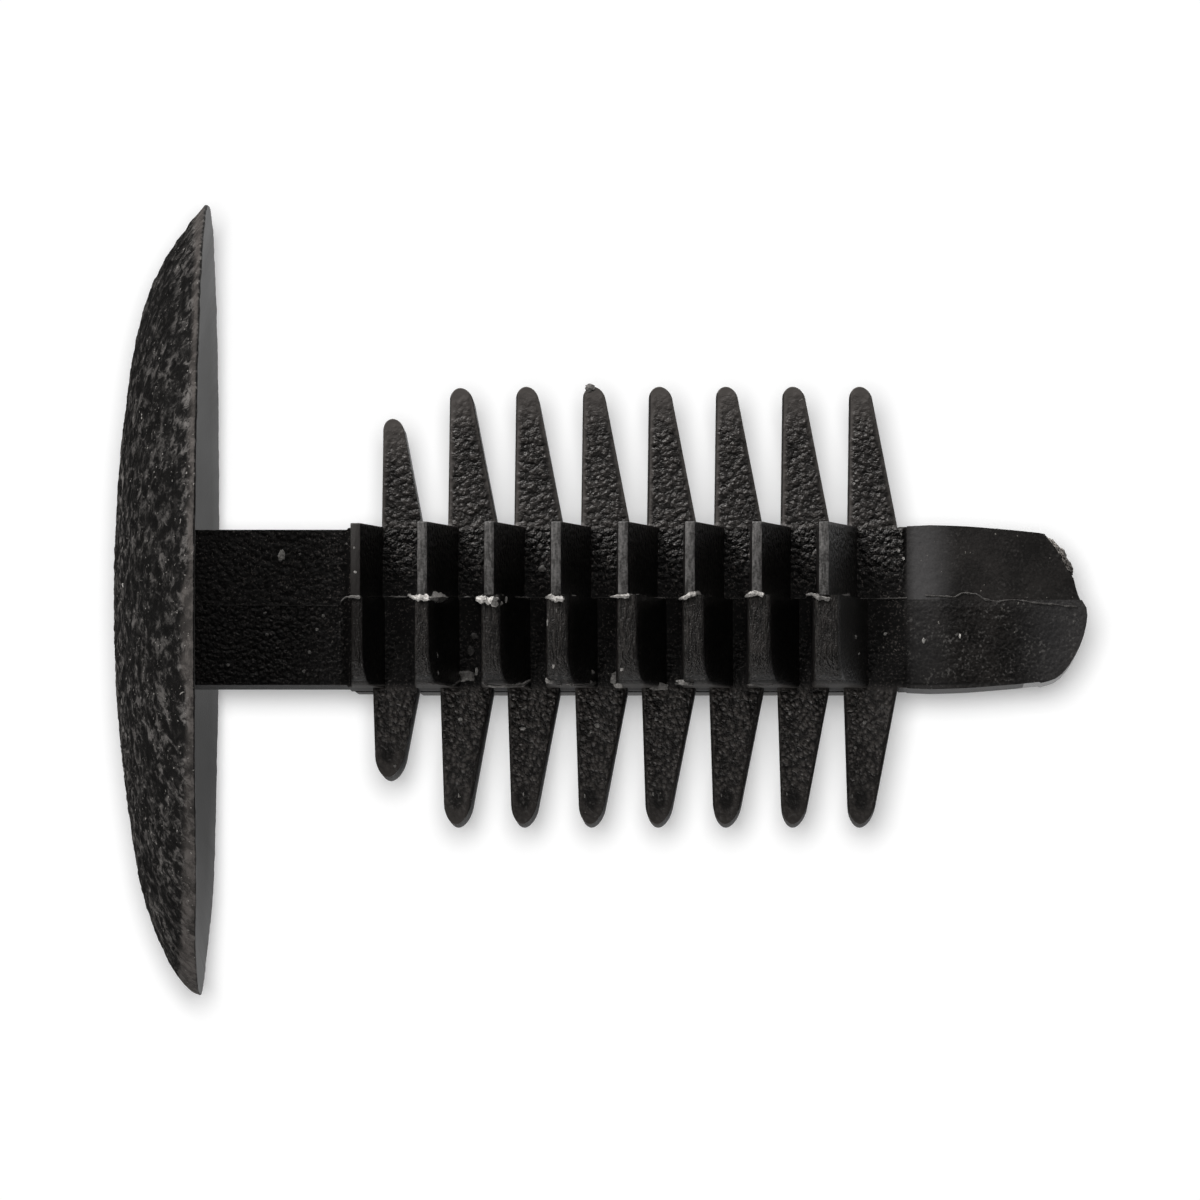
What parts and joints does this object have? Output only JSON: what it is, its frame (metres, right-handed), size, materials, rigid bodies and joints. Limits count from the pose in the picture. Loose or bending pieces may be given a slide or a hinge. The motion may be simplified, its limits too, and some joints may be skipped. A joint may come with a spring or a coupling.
{
  "type": "cover plug",
  "caption": "Push-in cover plug: a low-domed round head with a thin rim, on a square shank with staggered rows of springy blades and a blunt nose.",
  "frame": {"origin": "apex of the domed head, on the axis of the shank, where the plug stands on a flat plate", "axes": "+Z runs from the head up the shank to the nose; the mould closes on the YZ plane, with the gate half at -X and the plain half at +X"},
  "size_m": [0.0254, 0.0254, 0.0312],
  "materials": {
    "plug": "black moulding: leather grain on the dome, fine spark grain on shank and blades, smooth blade tips"
  },
  "bodies": {
    "root": {"cover_plug": "plug"}
  },
  "joints": []
}
